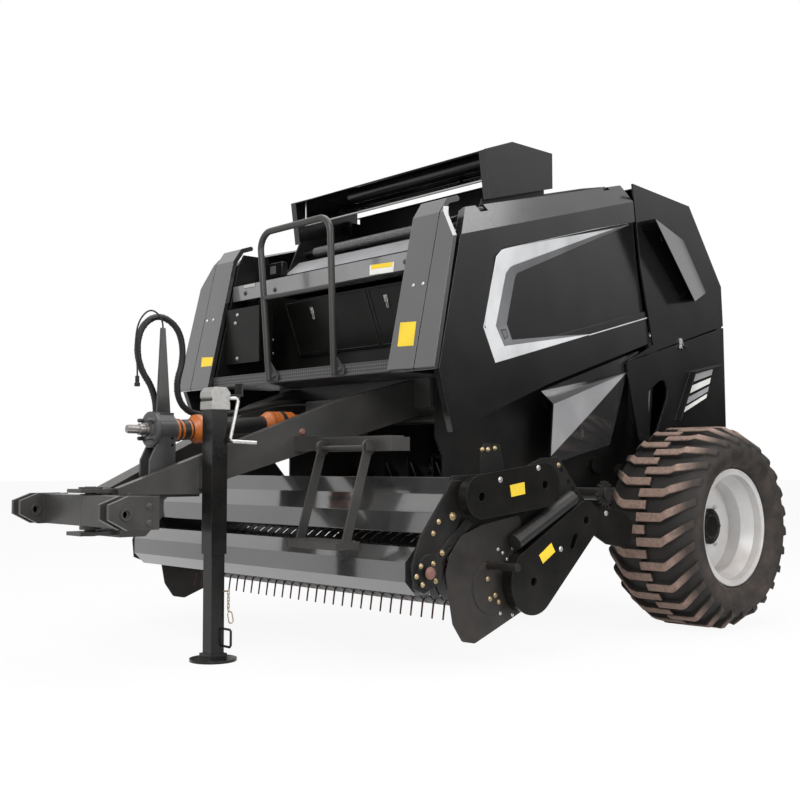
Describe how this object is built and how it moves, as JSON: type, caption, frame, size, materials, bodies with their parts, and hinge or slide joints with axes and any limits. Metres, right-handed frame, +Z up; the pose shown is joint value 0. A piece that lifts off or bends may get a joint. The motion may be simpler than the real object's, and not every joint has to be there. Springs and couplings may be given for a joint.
{
  "type": "round baler",
  "caption": "Towed fixed-chamber round baler with a wide pickup, raised net-wrap lid, side doors and a two-point drawbar.",
  "frame": {"origin": "ground point under the middle of the machine's box", "axes": "+X towards the machine's left, +Y towards the rear, +Z up"},
  "size_m": [2.78, 3.945, 2.5],
  "materials": {
    "black_paint": "gloss",
    "anthracite_paint": "gloss",
    "grey_paint": "satin",
    "tyre_rubber": "matte",
    "rim_paint": "satin",
    "steel": "satin",
    "chrome": "gloss",
    "orange_plastic": "gloss",
    "black_rubber": "matte",
    "tine_paint": "satin"
  },
  "bodies": {
    "frame": {"axle_beam": "black_paint", "bulkhead": "black_paint", "cable_plug": "black_rubber", "chamber_wall_left": "black_paint", "chamber_wall_right": "black_paint", "control_box": "anthracite_paint", "control_cable": "black_rubber", "cross_beam": "black_paint", "cylinder_brackets": "black_paint", "door_hinges": "black_paint", "drawbar": "black_paint", "frame_rails": "black_paint", "front_bands": "grey_paint", "front_rollers": "steel", "handrail": "black_paint", "hitch_yoke": "black_paint", "hose_bundle": "black_rubber", "hose_post": "black_paint", "intake_floor": "steel", "jack_tube": "black_paint", "ladder_bracket": "black_paint", "main_gearbox": "black_paint", "net_box": "black_paint", "platform": "black_paint", "pto_guard": "orange_plastic", "pto_support": "black_paint", "roof": "anthracite_paint", "side_aprons": "anthracite_paint", "side_panels": "black_paint"},
    "wheel_left": {"tyre_left": "tyre_rubber", "rim_left": "rim_paint"},
    "wheel_right": {"tyre_right": "tyre_rubber", "rim_right": "rim_paint"},
    "rotor": {"feed_rotor": "steel"},
    "tailgate": {"tailgate_side_left": "anthracite_paint", "tailgate_side_right": "anthracite_paint", "tailgate_skin": "anthracite_paint", "tailgate_rollers": "steel"},
    "door_l": {"door_left": "anthracite_paint"},
    "door_r": {"door_right": "anthracite_paint"},
    "lid": {"net_lid": "anthracite_paint"},
    "hitch": {"hitch_beam": "black_paint"},
    "pto": {"pto_shaft": "steel"},
    "jack": {"jack_leg": "steel"},
    "ladder_body": {"ladder": "black_paint"},
    "pickup": {"pickup_frame": "black_paint", "crop_guard": "black_paint", "pickup_shields": "black_paint", "chain_case_upper": "black_paint", "chain_case_lower": "black_paint", "lift_cylinder": "black_paint"},
    "reel": {"pickup_reel": "tine_paint"},
    "press": {"press_roller": "steel"},
    "barrel_l": {"cylinder_barrel_left": "black_paint"},
    "rod_l": {"cylinder_rod_left": "chrome"},
    "barrel_r": {"cylinder_barrel_right": "black_paint"},
    "rod_r": {"cylinder_rod_right": "chrome"}
  },
  "joints": [
    {"name": "wheel_left_spin", "type": "hinge", "parent": "frame", "child": "wheel_left", "pos_m": [1.12, 1.1825, 0.535], "axis": [1, 0, 0], "continuous": true},
    {"name": "wheel_right_spin", "type": "hinge", "parent": "frame", "child": "wheel_right", "pos_m": [-1.12, 1.1825, 0.535], "axis": [1, 0, 0], "continuous": true},
    {"name": "rotor_spin", "type": "hinge", "parent": "frame", "child": "rotor", "pos_m": [0, 0.2425, 0.725], "axis": [1, 0, 0], "continuous": true},
    {"name": "tailgate_swing", "type": "hinge", "parent": "frame", "child": "tailgate", "pos_m": [0, 1.0725, 2.425], "axis": [1, 0, 0], "range_deg": [0, 70]},
    {"name": "door_left_swing", "type": "hinge", "parent": "frame", "child": "door_l", "pos_m": [0.80741, 0.39206, 2.26386], "axis": [0.1261, -0.9566, -0.2626], "range_deg": [0, 70]},
    {"name": "door_right_swing", "type": "hinge", "parent": "frame", "child": "door_r", "pos_m": [-0.80741, 0.39206, 2.26386], "axis": [0.1261, 0.9566, 0.2626], "range_deg": [0, 70]},
    {"name": "net_lid_swing", "type": "hinge", "parent": "frame", "child": "lid", "pos_m": [0, 0.3225, 2.335], "axis": [1, 0, 0], "range_deg": [0, 25]},
    {"name": "hitch_swivel", "type": "hinge", "parent": "frame", "child": "hitch", "pos_m": [0, -1.8175, 0.665], "axis": [0, 0, 1], "range_deg": [-15, 15]},
    {"name": "pto_spin", "type": "hinge", "parent": "frame", "child": "pto", "pos_m": [0, -1.4675, 1.028], "axis": [0, 1, 0], "continuous": true},
    {"name": "jack_slide", "type": "slide", "parent": "frame", "child": "jack", "axis": [0, 0, 1], "range_m": [0, 0.3]},
    {"name": "ladder_fold", "type": "hinge", "parent": "frame", "child": "ladder_body", "pos_m": [0.742, -0.9895, 0.941], "axis": [-1, 0, 0], "range_deg": [0, 165]},
    {"name": "pickup_lift", "type": "hinge", "parent": "frame", "child": "pickup", "pos_m": [0, 0.2425, 0.725], "axis": [-1, 0, 0], "range_deg": [-3, 8]},
    {"name": "reel_spin", "type": "hinge", "parent": "pickup", "child": "reel", "pos_m": [0, -0.5175, 0.39], "axis": [1, 0, 0], "continuous": true},
    {"name": "press_spin", "type": "hinge", "parent": "pickup", "child": "press", "pos_m": [0, -0.8735, 0.42], "axis": [1, 0, 0], "continuous": true},
    {"name": "barrel_left_tilt", "type": "hinge", "parent": "frame", "child": "barrel_l", "pos_m": [0.76, 1.1625, 0.7], "axis": [1, 0, 0], "range_deg": [-4, 4]},
    {"name": "barrel_right_tilt", "type": "hinge", "parent": "frame", "child": "barrel_r", "pos_m": [-0.76, 1.1625, 0.7], "axis": [1, 0, 0], "range_deg": [-4, 4]},
    {"name": "rod_left_slide", "type": "slide", "parent": "barrel_l", "child": "rod_l", "axis": [0, 0.1273, 0.9919], "range_m": [-0.01, 0.62]},
    {"name": "rod_right_slide", "type": "slide", "parent": "barrel_r", "child": "rod_r", "axis": [0, 0.1273, 0.9919], "range_m": [-0.01, 0.62]}
  ],
  "couplings": [
    {"joint": "barrel_left_tilt", "follows": "tailgate_swing", "ratio": 0.00359},
    {"joint": "barrel_right_tilt", "follows": "tailgate_swing", "ratio": 0.00359},
    {"joint": "rod_left_slide", "follows": "tailgate_swing", "m_per_rad": 0.34929},
    {"joint": "rod_right_slide", "follows": "tailgate_swing", "m_per_rad": 0.34929}
  ]
}
